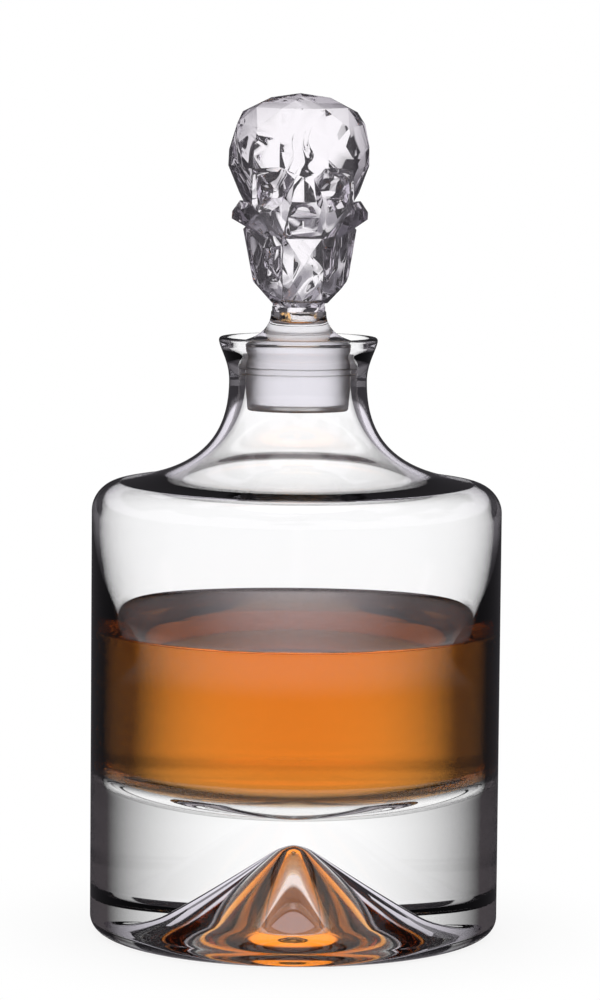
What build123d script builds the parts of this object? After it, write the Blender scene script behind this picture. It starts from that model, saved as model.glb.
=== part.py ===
"""Crystal spirit decanter with a faceted glass skull on its stopper.

Origin: on the standing surface, on the axis of the vessel. +Z is up, and the skull looks towards -Y.
All lengths are in millimetres.
"""

import os
from math import cos, radians, sin

from build123d import *

# Vessel: drum and base
body_radius = 69.0
foot_edge_radius = 5.2
base_thickness = 43.2
cavity_height = 107.5
upper_wall = 2.2
lower_wall = 11.5
floor_dish_width = 45.0
floor_dish_height = 15.0
cavity_corner_radius = 8.0

# Cone pressed into the base from below
cone_height = 32.8
cone_radius = 32.4
cone_tip_radius = 4.6
cone_foot_radius = 7.0

# Shoulder, neck and lip
shoulder_glass = 1.5
shoulder_corner_radius = 8.5
sweep_height = 34.3
throat_radius = 19.85
throat_land = 1.0
neck_wall = 3.3
lip_height = 14.7
lip_radius = 26.85
lip_wall = 3.2
lip_edge_radius = 1.3
lip_lean = 0.2

# Spirit in the cavity
liquor_depth = 58.6
liquor_clearance = 0.1

# Silicone sleeve that seals the throat
sleeve_length = 22.6
sleeve_relief = 2.3
sleeve_wall = 2.2
sleeve_floor = 1.8
sleeve_edge_radius = 1.0
sleeve_taper = 0.7
sleeve_taper_height = 7.8
fin_gap = 0.1
fin_height = 0.5
low_fin_rise = 2.9
high_fin_rise = 5.0
high_fin_extra = 0.3
collar_drop = 1.9

# Glass collar with its core, shank and socket
collar_overhang = 0.1
collar_edge = 0.8
collar_height = 10.5
shank_radius = 9.25
turn_clearance = 0.08
core_end_clearance = 0.3
socket_depth = 3.6
tenon_radius = 6.4
bond_thickness = 0.12

# Skull
head_height = 72.8
head_half_width = 23.7
head_half_depth = 29.0
head_neck_radius = 8.9
head_neck_land = 1.6
head_yaw = 3.0

# Shares that shape the curves of the glass
circle_share = 0.5523
shoulder_fall_share = 0.136
ceiling_fall_share = 0.058
sweep_side_shares = (0.70, 0.60)
bore_sweep_shares = (0.838, 0.35)
lip_flare_shares = (0.42, 0.31)
bore_flare_shares = (0.70, 0.33)
trumpet_share = 0.55
cavity_side_share = 0.5

# Levels and radii that follow
floor_level = base_thickness
ceiling_level = floor_level + cavity_height
shoulder_level = ceiling_level + shoulder_glass
waist_level = shoulder_level + sweep_height
lip_level = waist_level + lip_height
waist_radius = throat_radius + neck_wall
cavity_low_radius = body_radius - lower_wall
cavity_top_radius = body_radius - upper_wall
liquor_level = floor_level + liquor_depth

sleeve_top = lip_level - collar_drop
sleeve_bottom = sleeve_top - sleeve_length
sleeve_radius = throat_radius - sleeve_relief
sleeve_bore_radius = sleeve_radius - sleeve_wall
low_fin = (throat_radius - fin_gap, waist_level + low_fin_rise)
high_fin = (low_fin[0] + high_fin_extra, waist_level + high_fin_rise)

collar_top = sleeve_top + collar_height
collar_radius = sleeve_radius + collar_overhang
core_radius = sleeve_bore_radius - turn_clearance
core_bottom = sleeve_bottom + sleeve_floor + core_end_clearance
socket_radius = tenon_radius + bond_thickness
socket_floor = collar_top - socket_depth
head_base = collar_top


def toward(start, end, share):
    """The point that lies the given share of the way from start to end."""
    return tuple(a + (b - a) * share for a, b in zip(start, end))


def round_corner(start, corner, end):
    """A near circular turn from start to end, where the lines through corner would meet."""
    Bezier(start, toward(start, corner, circle_share), toward(end, corner, circle_share), end)


def cone_outline():
    """Section of the cone under the base: rounded tip, straight flank and softened foot."""
    slope = cone_height / cone_radius
    tip_corner = (cone_tip_radius / 2, cone_height)
    virtual_height = cone_height + slope * cone_tip_radius / 2
    tip_end = (cone_tip_radius, virtual_height - slope * cone_tip_radius)
    foot_corner = (virtual_height / slope, 0)
    flank_end = toward(foot_corner, tip_end, cone_foot_radius / cone_radius)
    ring_start = (foot_corner[0] + cone_foot_radius, 0)
    round_corner((0, cone_height), tip_corner, tip_end)
    Line(tip_end, flank_end)
    round_corner(flank_end, foot_corner, ring_start)
    Line(ring_start, (body_radius - foot_edge_radius, 0))


def outer_outline():
    """Section of the outside: foot edge, drum, shoulder, waist, flared lip and its rounded rim."""
    shoulder_corner = (body_radius, shoulder_level - shoulder_fall_share * shoulder_corner_radius)
    drum_top = (body_radius, shoulder_corner[1] - shoulder_corner_radius)
    shoulder_start = (body_radius - shoulder_corner_radius, shoulder_level)
    inward, upward = (share * reach for share, reach in zip(
        sweep_side_shares, (shoulder_start[0] - waist_radius, sweep_height)))
    round_corner((body_radius - foot_edge_radius, 0), (body_radius, 0), (body_radius, foot_edge_radius))
    Line((body_radius, foot_edge_radius), drum_top)
    round_corner(drum_top, shoulder_corner, shoulder_start)
    Bezier(
        shoulder_start,
        (shoulder_start[0] - inward, shoulder_level + shoulder_fall_share * inward),
        (waist_radius, waist_level - upward),
        (waist_radius, waist_level),
    )
    low_share, high_share = lip_flare_shares
    rim_corner = (lip_radius, lip_level)
    rim_start = (lip_radius - lip_lean, lip_level - lip_edge_radius)
    Bezier(
        (waist_radius, waist_level),
        (waist_radius, waist_level + low_share * lip_height),
        toward(rim_corner, rim_start, high_share * lip_height / lip_edge_radius),
        rim_start,
    )
    rim_end = (lip_radius - lip_edge_radius, lip_level)
    round_corner(rim_start, rim_corner, rim_end)


def bore_outline():
    """Section of the mouth: rim, flare down to the throat, its land and the sweep under the shoulder."""
    bore_radius = lip_radius - lip_wall
    rim_end = (lip_radius - lip_edge_radius, lip_level)
    rim_start = (bore_radius + lip_edge_radius, lip_level)
    bore_start = (bore_radius, lip_level - lip_edge_radius)
    land_top = (throat_radius, waist_level + throat_land)
    flare_height = bore_start[1] - land_top[1]
    low_share, high_share = bore_flare_shares
    ceiling_end = (cavity_top_radius - cavity_corner_radius, ceiling_level)
    inward, upward = (share * reach for share, reach in zip(
        bore_sweep_shares, (ceiling_end[0] - throat_radius, waist_level - ceiling_level)))
    Line(rim_end, rim_start)
    round_corner(rim_start, (bore_radius, lip_level), bore_start)
    Bezier(
        bore_start,
        (bore_radius, bore_start[1] - high_share * flare_height),
        (throat_radius, land_top[1] + low_share * flare_height),
        land_top,
    )
    Line(land_top, (throat_radius, waist_level))
    Bezier(
        (throat_radius, waist_level),
        (throat_radius, waist_level - upward),
        (ceiling_end[0] - inward, ceiling_level + ceiling_fall_share * inward),
        ceiling_end,
    )


def cavity_outline(shrink=0):
    """Section of the cavity's corner, side and dished floor, moved inwards and up by shrink."""
    top_radius, low_radius = cavity_top_radius - shrink, cavity_low_radius - shrink
    ceiling_end = (top_radius - cavity_corner_radius, ceiling_level)
    corner = (top_radius, ceiling_level - ceiling_fall_share * cavity_corner_radius)
    side_top = (top_radius, corner[1] - cavity_corner_radius)
    low_level = floor_level + shrink
    side_low = (low_radius, low_level + floor_dish_height)
    bend = cavity_side_share * (side_top[1] - side_low[1])
    floor_end = (low_radius - floor_dish_width, low_level)
    round_corner(ceiling_end, corner, side_top)
    Bezier(side_top, (top_radius, side_top[1] - bend), (low_radius, side_low[1] + bend), side_low)
    round_corner(side_low, (low_radius, low_level), floor_end)
    Line(floor_end, (0, low_level))


def fin_outline(radius, level):
    """Corners of a thin fin round the sleeve, upwards."""
    low, high = level - fin_height / 2, level + fin_height / 2
    return (sleeve_radius, low), (radius, low), (radius, high), (sleeve_radius, high)


# Vessel, one piece of glass
with BuildPart() as decanter_body:
    with BuildSketch(Plane.XZ):
        with BuildLine():
            cone_outline()
            outer_outline()
            bore_outline()
            cavity_outline()
            Line((0, floor_level), (0, cone_height))
        make_face()
    revolve(axis=Axis.Z)
decanter_body.part.label = "decanter_body"

# Spirit, which fills the cavity up to its level
with BuildPart() as liquor_fill:
    with BuildSketch(Plane.XZ):
        with BuildLine():
            cavity_outline(liquor_clearance)
            ceiling_radius = cavity_top_radius - cavity_corner_radius - liquor_clearance
            Polyline((0, floor_level + liquor_clearance), (0, ceiling_level), (ceiling_radius, ceiling_level))
        make_face()
    revolve(axis=Axis.Z)
    split(bisect_by=Plane.XY.offset(liquor_level), keep=Keep.BOTTOM)
liquor_fill.part.label = "liquor_fill"

# Sleeve, a cup that tapers at its foot, with two thin fins that meet the throat
with BuildPart() as seal_sleeve:
    with BuildSketch(Plane.XZ):
        with BuildLine():
            foot_corner = (sleeve_radius - sleeve_taper, sleeve_bottom)
            edge_start = (foot_corner[0] - sleeve_edge_radius, sleeve_bottom)
            taper_end = (sleeve_radius, sleeve_bottom + sleeve_taper_height)
            edge_end = toward(foot_corner, taper_end, sleeve_edge_radius / sleeve_taper_height)
            Line((0, sleeve_bottom), edge_start)
            round_corner(edge_start, foot_corner, edge_end)
            Polyline(
                edge_end,
                taper_end,
                *fin_outline(*low_fin),
                *fin_outline(*high_fin),
                (sleeve_radius, sleeve_top),
                (sleeve_bore_radius, sleeve_top),
                (sleeve_bore_radius, sleeve_bottom + sleeve_floor),
                (0, sleeve_bottom + sleeve_floor),
                (0, sleeve_bottom),
            )
        make_face()
    revolve(axis=Axis.Z)
seal_sleeve.part.label = "seal_sleeve"

# Collar: disc over the sleeve, core inside it, trumpet shank with the head's socket
with BuildPart() as stopper_collar:
    with BuildSketch(Plane.XZ):
        with BuildLine():
            disc_top = (collar_radius, sleeve_top + collar_edge)
            shank_height = collar_height - collar_edge
            Polyline(
                (0, socket_floor),
                (0, core_bottom),
                (core_radius, core_bottom),
                (core_radius, sleeve_top),
                (collar_radius, sleeve_top),
                disc_top,
            )
            Bezier(
                disc_top,
                toward(disc_top, (shank_radius, disc_top[1] + shank_height / 4), trumpet_share),
                (shank_radius, collar_top - trumpet_share * shank_height),
                (shank_radius, collar_top),
            )
            Polyline(
                (shank_radius, collar_top),
                (socket_radius, collar_top),
                (socket_radius, socket_floor),
                (0, socket_floor),
            )
        make_face()
    revolve(axis=Axis.Z)
stopper_collar.part.label = "stopper_collar"

# Adhesive, a thin cup between the tenon and its socket
with BuildPart() as bond_film:
    with BuildSketch(Plane.XY.offset(socket_floor)):
        Circle(socket_radius)
    extrude(amount=socket_depth)
    with BuildSketch(Plane.XY.offset(socket_floor + bond_thickness)):
        Circle(tenon_radius)
    extrude(amount=socket_depth, mode=Mode.SUBTRACT)
bond_film.part.label = "bond_film"

# Corners of the skull, as shares of its half width, half depth and height
cranium_shares = (
    (0.00, 0.05, 1.000), (0.00, -0.38, 0.985), (0.00, 0.52, 0.975),
    (0.42, -0.08, 0.980), (0.36, 0.36, 0.978), (0.30, -0.66, 0.930),
    (0.64, -0.42, 0.935), (0.81, 0.06, 0.915), (0.62, 0.52, 0.920), (0.20, 0.78, 0.905),
    (0.64, -0.66, 0.845), (0.90, -0.20, 0.860), (0.86, 0.42, 0.850), (0.48, 0.84, 0.820),
    (0.34, -0.88, 0.735), (0.70, -0.74, 0.715), (0.96, -0.22, 0.760),
    (0.99, 0.26, 0.740), (0.78, 0.70, 0.740), (0.32, 0.97, 0.720),
    (0.00, -0.93, 0.622), (0.34, -0.92, 0.668), (0.70, -0.77, 0.658), (0.97, -0.10, 0.670),
    (1.00, 0.28, 0.665), (0.80, 0.72, 0.630), (0.34, 1.00, 0.610),
    (0.85, 0.14, 0.545), (0.72, -0.36, 0.555), (0.78, 0.60, 0.510), (0.34, 0.94, 0.490),
    (0.52, -0.12, 0.400), (0.54, 0.48, 0.350), (0.26, 0.76, 0.370),
)
face_shares = (
    (0.00, -0.92, 0.620), (0.34, -0.91, 0.650), (0.70, -0.76, 0.640), (0.71, -0.74, 0.500),
    (0.62, -0.80, 0.465), (0.34, -0.88, 0.450), (0.20, -0.92, 0.480), (0.30, -0.88, 0.345),
    (0.50, -0.72, 0.365), (0.60, -0.30, 0.380), (0.62, -0.20, 0.560),
)
nose_shares = (
    (0.00, -0.92, 0.612), (0.11, -0.90, 0.605), (0.20, -0.88, 0.520), (0.16, -0.94, 0.512),
    (0.00, -1.00, 0.512), (0.14, -0.70, 0.610), (0.20, -0.70, 0.500),
)
cheekbone_shares = (
    (0.96, -0.12, 0.458), (0.96, -0.06, 0.425), (0.85, -0.16, 0.510), (0.76, -0.46, 0.500),
    (0.68, -0.70, 0.490), (0.62, -0.80, 0.468), (0.47, -0.76, 0.352), (0.52, -0.66, 0.345),
    (0.77, -0.42, 0.405), (0.85, 0.16, 0.415), (0.86, 0.18, 0.485), (0.50, -0.30, 0.500),
    (0.50, -0.30, 0.380),
)
muzzle_shares = (
    (0.26, -0.86, 0.345), (0.29, -0.84, 0.210), (0.26, -0.80, 0.070), (0.00, -0.95, 0.222),
    (0.13, -0.92, 0.290), (0.14, -0.91, 0.150), (0.00, -0.85, 0.063), (0.00, -0.90, 0.340),
    (0.28, -0.40, 0.400), (0.28, -0.40, 0.080),
)
jaw_shares = (
    (0.68, -0.20, 0.270), (0.68, -0.32, 0.170), (0.66, -0.18, 0.140), (0.56, -0.54, 0.115),
    (0.28, -0.79, 0.065), (0.28, -0.82, 0.130), (0.47, -0.69, 0.280), (0.46, -0.62, 0.380),
    (0.80, -0.10, 0.378), (0.76, -0.30, 0.372), (0.39, -0.22, 0.042), (0.26, -0.50, 0.045),
    (0.52, 0.04, 0.150), (0.64, 0.06, 0.300), (0.60, 0.04, 0.440), (0.56, -0.40, 0.440),
)
nape_shares = (
    (0.44, 0.12, 0.200), (0.50, 0.16, 0.400), (0.52, 0.46, 0.390), (0.40, 0.40, 0.250),
    (0.26, 0.72, 0.400), (0.20, 0.58, 0.260), (0.20, 0.38, 0.130), (0.40, -0.30, 0.400),
)

# Hollows of the skull: outline at the surface and at the bottom, with the depth of each
socket_mouth_shares = (
    (0.14, 0.612), (0.33, 0.658), (0.67, 0.654), (0.69, 0.550), (0.60, 0.478), (0.32, 0.460), (0.19, 0.500),
)
socket_floor_shares = (
    (0.26, 0.556), (0.38, 0.560), (0.54, 0.552), (0.55, 0.542), (0.53, 0.530), (0.34, 0.524), (0.28, 0.532),
)
socket_depth_shares = (-0.90, -0.56)
nostril_mouth_shares = ((0.00, 0.508), (0.12, 0.496), (0.185, 0.464), (0.180, 0.448))
nostril_floor_shares = ((0.00, 0.488), (0.06, 0.484), (0.100, 0.470), (0.100, 0.462))
nostril_depth_shares = (-0.95, -0.70)
notch_mouth_shares = ((0.20, 0.440), (0.21, 0.375))
notch_floor_shares = ((0.01, 0.425), (0.01, 0.392))
notch_depth_shares = (-0.90, -0.82)
hollow_mouth_shares = ((0.290, 0.322), (0.435, 0.312), (0.420, 0.185), (0.340, 0.150), (0.290, 0.190))
hollow_floor_shares = ((0.320, 0.290), (0.410, 0.284), (0.400, 0.210), (0.350, 0.195), (0.320, 0.212))
hollow_depth_shares = (-0.76, -0.46)
mouth_stretch_share = 1.5
neck_facets = 12


def head_point(across, back, up):
    """A point of the head, from shares of its half width, half depth and height."""
    point = Vector(across * head_half_width, back * head_half_depth, head_base + up * head_height)
    return point.rotate(Axis.Z, head_yaw)


def both_sides(shares):
    """The shares of a lump that is alike on both sides of the face."""
    return [(side * across, *rest) for across, *rest in shares for side in (1, -1)]


def lump(shares):
    """A convex piece of the head with its corners at the shares."""
    ConvexPolyhedron([head_point(*share) for share in shares])


def neck_ring():
    """Corners of the round neck, where the facets of the nape start."""
    for facet in range(neck_facets):
        angle = radians(360 * (facet + 0.5) / neck_facets)
        yield head_neck_radius * cos(angle), head_neck_radius * sin(angle), head_base + head_neck_land


def hollow_corners(mouth, floor, depths, side):
    """Corners of a hollow on one side of the face, whose flat walls open out past the surface."""
    mouth_depth, floor_depth = depths
    corners = []
    for (mouth_x, mouth_z), (floor_x, floor_z) in zip(mouth, floor):
        bottom = (side * floor_x, floor_depth, floor_z)
        surface = (side * mouth_x, mouth_depth, mouth_z)
        corners += [head_point(*bottom), head_point(*toward(bottom, surface, mouth_stretch_share))]
    return corners


# Skull, one pressing of glass with a round tenon
with BuildPart() as skull_head:
    with BuildSketch(Plane.XY.offset(socket_floor + bond_thickness)):
        Circle(tenon_radius)
    extrude(amount=socket_depth - bond_thickness)
    with BuildSketch(Plane.XY.offset(head_base)):
        Circle(head_neck_radius)
    extrude(amount=head_neck_land)
    lump(both_sides(cranium_shares))
    lump(both_sides(face_shares))
    lump(both_sides(nose_shares))
    for side in (1, -1):
        lump([(side * across, *rest) for across, *rest in cheekbone_shares])
    lump(both_sides(jaw_shares))
    lump(both_sides(muzzle_shares))
    ConvexPolyhedron([*neck_ring(), *(head_point(*share) for share in both_sides(nape_shares))])
    for side in (1, -1):
        for corners in (
            hollow_corners(socket_mouth_shares, socket_floor_shares, socket_depth_shares, side),
            hollow_corners(hollow_mouth_shares, hollow_floor_shares, hollow_depth_shares, side),
        ):
            ConvexPolyhedron(corners, mode=Mode.SUBTRACT)
    for mouth, floor, depths in (
        (nostril_mouth_shares, nostril_floor_shares, nostril_depth_shares),
        (notch_mouth_shares, notch_floor_shares, notch_depth_shares),
    ):
        corners = hollow_corners(mouth, floor, depths, 1) + hollow_corners(mouth, floor, depths, -1)
        ConvexPolyhedron(corners, mode=Mode.SUBTRACT)
skull_head.part.label = "skull_head"

os.makedirs("parts", exist_ok=True)
for piece in (decanter_body, liquor_fill, seal_sleeve, stopper_collar, bond_film, skull_head):
    export_step(piece.part, f"parts/{piece.part.label}.step")
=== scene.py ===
"""Looks of the figural glass decanter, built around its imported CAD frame.

The vessel, spirit, sleeve, collar and bond are turned from half sections by one Geometry Nodes
tree. The skull keeps the facets of its CAD solid and gets softened edges. Sizes of sections are in
millimetres. Meshes, materials and the studio are in metres.
"""

import logging
from dataclasses import dataclass, field
from enum import Enum
from math import exp, pi, radians
from typing import Any, ClassVar

import bmesh
import bpy
from mathutils import Matrix, Vector

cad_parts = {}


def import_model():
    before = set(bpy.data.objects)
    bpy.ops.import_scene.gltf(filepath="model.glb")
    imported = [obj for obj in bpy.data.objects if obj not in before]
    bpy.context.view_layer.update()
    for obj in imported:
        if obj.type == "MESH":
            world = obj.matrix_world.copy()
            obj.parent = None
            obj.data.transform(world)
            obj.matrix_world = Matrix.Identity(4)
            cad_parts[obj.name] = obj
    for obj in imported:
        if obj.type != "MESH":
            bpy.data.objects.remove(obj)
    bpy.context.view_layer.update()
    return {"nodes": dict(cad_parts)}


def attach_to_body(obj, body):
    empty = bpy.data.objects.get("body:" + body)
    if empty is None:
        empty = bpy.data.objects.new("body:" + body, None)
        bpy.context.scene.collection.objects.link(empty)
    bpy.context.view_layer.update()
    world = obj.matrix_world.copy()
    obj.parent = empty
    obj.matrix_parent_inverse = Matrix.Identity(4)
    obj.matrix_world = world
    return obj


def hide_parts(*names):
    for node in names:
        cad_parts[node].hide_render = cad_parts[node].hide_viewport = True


LOG = logging.getLogger("decanter")
MILLIMETRE = 0.001
CIRCLE_SHARE = 0.5523
MERGE_DISTANCE = 1e-6
SHARP_ANGLE = radians(35)

Point = tuple[float, float]
Colour = tuple[float, float, float]
Socket = bpy.types.NodeSocket
Tree = bpy.types.NodeTree
Thing = bpy.types.Object


class Body(Enum):
    """Bodies of the frame that pieces ride on."""

    VESSEL = "vessel"
    SLEEVE = "sleeve"
    STOPPER = "stopper"


class Slot(Enum):
    """Material slots of the record."""

    CRYSTAL = "crystal"
    SPIRIT = "spirit"
    SILICONE = "frosted_silicone"
    ADHESIVE = "clear_adhesive"


class Graph:
    """Short calls for making nodes in one node tree."""

    def __init__(self, tree: Tree) -> None:
        """Keep the tree that gets the nodes."""
        self.tree = tree

    def node(
        self, kind: str, inputs: dict[Any, Any] | None = None, **settings: Any
    ) -> bpy.types.Node:
        """Make a node.

        Args:
            kind: Type name of the node.
            inputs: Values or output sockets for its inputs, by name or place.
            **settings: Properties of the node.

        Returns:
            The new node.
        """
        node = self.tree.nodes.new(kind)
        for name, value in settings.items():
            setattr(node, name, value)
        for name, value in (inputs or {}).items():
            self.feed(node.inputs[name], value)
        return node

    def feed(self, socket: Socket, value: Any) -> None:
        """Link or set one input.

        Args:
            socket: The input.
            value: An output socket, or a plain value.
        """
        if isinstance(value, Socket):
            self.tree.links.new(value, socket)
        else:
            socket.default_value = value

    def math(self, operation: str, *values: Any) -> Socket:
        """Make a Math node from numbers or sockets."""
        return self.node("ShaderNodeMath", dict(enumerate(values)), operation=operation).outputs[0]

    def vector(self, operation: str, *values: Any) -> Any:
        """Make a Vector Math node, and give its outputs: a vector at 0 and a number at "Value"."""
        inputs = dict(enumerate(values))
        return self.node("ShaderNodeVectorMath", inputs, operation=operation).outputs

    def part(self, vector: Socket, axis: str) -> Socket:
        """Take the X, Y or Z of a vector."""
        return self.node("ShaderNodeSeparateXYZ", {0: vector}).outputs[axis]

    def place(self) -> Socket:
        """Read the place on the object."""
        return self.node("ShaderNodeTexCoord").outputs["Object"]

    def ramp(
        self, value: Any, low: Any, high: Any, start: float = 0.0, end: float = 1.0
    ) -> Socket:
        """Make a smooth step.

        Args:
            value: The number that is looked at.
            low: Where the step starts.
            high: Where it ends.
            start: Result before the step.
            end: Result after it.

        Returns:
            The result's socket.
        """
        inputs = {"Value": value, "From Min": low, "From Max": high, "To Min": start, "To Max": end}
        return self.node("ShaderNodeMapRange", inputs, interpolation_type="SMOOTHSTEP").outputs[0]

    def fall(self, value: Any, low: Any, high: Any) -> Socket:
        """Make a smooth step down from 1 to 0."""
        return self.ramp(value, low, high, 1.0, 0.0)

    def blend(self, factor: Any, first: Any, second: Any) -> Socket:
        """Blend two colours.

        Args:
            factor: Share of the second colour.
            first: Colour at 0.
            second: Colour at 1.

        Returns:
            The colour's socket.
        """
        node = self.node("ShaderNodeMix", data_type="RGBA")
        self.feed(node.inputs[0], factor)
        for socket, value in zip(node.inputs[6:8], (first, second)):
            self.feed(socket, value if isinstance(value, Socket) else (*value, 1.0))
        return node.outputs[2]

    def bump(self, **inputs: Any) -> Socket:
        """Make a Bump node at full strength from a height, a distance and perhaps a normal."""
        named = {name.capitalize(): value for name, value in inputs.items()}
        return self.node("ShaderNodeBump", {"Strength": 1.0, **named}).outputs[0]


@dataclass
class Section:
    """Half section of a turned piece: points of radius and height, in millimetres."""

    points: list[Point] = field(default_factory=list)

    def add(self, *points: Point) -> None:
        """Add straight runs through the points."""
        self.points.extend(points)

    def line(self, end: Point, steps: int) -> None:
        """Add a straight line from the last point, in equal runs."""
        start = self.points[-1]
        self.add(*(toward(start, end, step / steps) for step in range(1, steps + 1)))

    def curve(self, first: Point, second: Point, end: Point, steps: int) -> None:
        """Add a cubic curve from the last point.

        Args:
            first: First control point.
            second: Second control point.
            end: End of the curve.
            steps: Number of runs along it.
        """
        corners = (self.points[-1], first, second, end)
        for step in range(1, steps + 1):
            share = step / steps
            rest = 1 - share
            weights = (rest**3, 3 * share * rest**2, 3 * share**2 * rest, share**3)
            self.points.append(
                tuple(sum(w * c[axis] for w, c in zip(weights, corners)) for axis in (0, 1))
            )

    def turn(self, corner: Point, end: Point, steps: int) -> None:
        """Add a near circular turn from the last point, round where its two sides would meet."""
        first = toward(self.points[-1], corner, CIRCLE_SHARE)
        self.curve(first, toward(end, corner, CIRCLE_SHARE), end, steps)


def toward(start: Point, end: Point, share: float) -> Point:
    """Find the point that lies a share of the way from one point to another."""
    return tuple(a + (b - a) * share for a, b in zip(start, end))


@dataclass(frozen=True)
class Lathe:
    """Geometry Nodes tree that turns a half section about the vertical axis."""

    tree: Tree
    sockets: dict[str, str]

    @classmethod
    def make(cls) -> "Lathe":
        """Build the tree.

        Returns:
            The lathe with the identifiers of the tree's named inputs.
        """
        tree = bpy.data.node_groups.new("turned_piece", "GeometryNodeTree")
        sockets = {}
        for name, kind in (
            ("Section", "NodeSocketGeometry"),
            ("Segments", "NodeSocketInt"),
            ("Seam Distance", "NodeSocketFloat"),
            ("Finish", "NodeSocketMaterial"),
        ):
            socket = tree.interface.new_socket(name, in_out="INPUT", socket_type=kind)
            sockets[name] = socket.identifier
        tree.interface.new_socket("Piece", in_out="OUTPUT", socket_type="NodeSocketGeometry")
        graph = Graph(tree)
        given = graph.node("NodeGroupInput").outputs
        count = graph.node(
            "GeometryNodeAttributeDomainSize", {"Geometry": given["Section"]}, component="MESH"
        ).outputs["Point Count"]
        grid = graph.node("GeometryNodeMeshGrid", {
            "Size X": 1.0,
            "Size Y": 1.0,
            "Vertices X": graph.math("ADD", given["Segments"], 1),
            "Vertices Y": count,
        })
        turned = cls.turned_points(graph, given["Section"], count)
        moved = graph.node(
            "GeometryNodeSetPosition", {"Geometry": grid.outputs["Mesh"], "Position": turned}
        )
        closed = graph.node(
            "GeometryNodeMergeByDistance",
            {"Geometry": moved.outputs[0], "Distance": given["Seam Distance"]},
        )
        smooth = graph.node("GeometryNodeSetShadeSmooth", {"Geometry": closed.outputs[0]})
        real = graph.node("GeometryNodeRealizeInstances", {"Geometry": smooth.outputs[0]})
        finished = graph.node(
            "GeometryNodeSetMaterial", {"Geometry": real.outputs[0], "Material": given["Finish"]}
        )
        graph.node("NodeGroupOutput", {0: finished.outputs[0]})
        return cls(tree, sockets)

    @staticmethod
    def turned_points(graph: Graph, section: Socket, count: Socket) -> Socket:
        """Work out where the points of a unit grid go.

        Args:
            graph: The tree that gets the nodes.
            section: The half section, one point for each row of the grid.
            count: Number of its points.

        Returns:
            The socket of their places.
        """
        spot = graph.node("GeometryNodeInputPosition").outputs[0]
        across = graph.math("ADD", graph.part(spot, "X"), 0.5)
        up = graph.math("ADD", graph.part(spot, "Y"), 0.5)
        angle = graph.math("MULTIPLY", across, 2 * pi)
        last_row = graph.math("SUBTRACT", count, 1)
        row = graph.math("ROUND", graph.math("MULTIPLY", up, last_row))
        point = graph.node(
            "GeometryNodeSampleIndex",
            {"Geometry": section, "Index": row},
            data_type="FLOAT_VECTOR",
            domain="POINT",
        )
        graph.feed(point.inputs["Value"], spot)
        radius = graph.part(point.outputs[0], "X")
        turned = graph.node("ShaderNodeCombineXYZ", {
            "X": graph.math("MULTIPLY", radius, graph.math("COSINE", angle)),
            "Y": graph.math("MULTIPLY", radius, graph.math("SINE", angle)),
            "Z": graph.part(point.outputs[0], "Z"),
        })
        return turned.outputs[0]

    def turn(
        self, name: str, section: Section, finish: bpy.types.Material, segments: int
    ) -> Thing:
        """Turn a section into a closed piece.

        Args:
            name: Name of the piece.
            section: Its half section, from axis to axis.
            finish: Its material.
            segments: Number of segments around.

        Returns:
            The piece as a plain mesh object.
        """
        mesh = bpy.data.meshes.new(f"{name}_section")
        points = [(across * MILLIMETRE, 0.0, up * MILLIMETRE) for across, up in section.points]
        mesh.from_pydata(points, [(i, i + 1) for i in range(len(points) - 1)], [])
        blank = placed(f"{name}_section", mesh)
        modifier = blank.modifiers.new("lathe", "NODES")
        modifier.node_group = self.tree
        modifier[self.sockets["Segments"]] = segments
        modifier[self.sockets["Seam Distance"]] = MERGE_DISTANCE
        modifier[self.sockets["Finish"]] = finish
        result = evaluated_mesh(blank, name)
        bpy.data.objects.remove(blank)
        work = bmesh.new()
        work.from_mesh(result)
        bmesh.ops.recalc_face_normals(work, faces=work.faces)
        work.to_mesh(result)
        work.free()
        result.set_sharp_from_angle(angle=SHARP_ANGLE)
        return placed(name, result)


class TurnedPiece:
    """A piece that is turned from one half section."""

    piece_name: ClassVar[str]
    segments: ClassVar[int] = 160

    def section(self) -> Section:
        """Draw the half section, from axis to axis."""
        raise NotImplementedError

    def build(self, lathe: Lathe, finish: bpy.types.Material) -> Thing:
        """Turn the piece with the lathe and give it its material."""
        return lathe.turn(self.piece_name, self.section(), finish, self.segments)


def emptied(owner: bpy.types.Material | bpy.types.World) -> Graph:
    """Clear the node tree of a material or a world.

    Args:
        owner: The material or world.

    Returns:
        A graph for its tree.
    """
    owner.use_nodes = True
    owner.node_tree.nodes.clear()
    return Graph(owner.node_tree)


def evaluated_mesh(thing: Thing, name: str) -> bpy.types.Mesh:
    """Read what an object's modifiers give.

    Args:
        thing: The object with its modifiers.
        name: Name of the new mesh.

    Returns:
        A plain mesh with the modifiers applied.
    """
    bpy.context.view_layer.update()
    graph = bpy.context.evaluated_depsgraph_get()
    mesh = bpy.data.meshes.new_from_object(
        thing.evaluated_get(graph), preserve_all_data_layers=True, depsgraph=graph
    )
    mesh.name = name
    return mesh


def placed(name: str, mesh: bpy.types.Mesh) -> Thing:
    """Put a mesh in the scene.

    Args:
        name: Name of the object.
        mesh: The mesh, in place.

    Returns:
        The object, at the origin.
    """
    thing = bpy.data.objects.new(name, mesh)
    bpy.context.scene.collection.objects.link(thing)
    return thing


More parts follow.
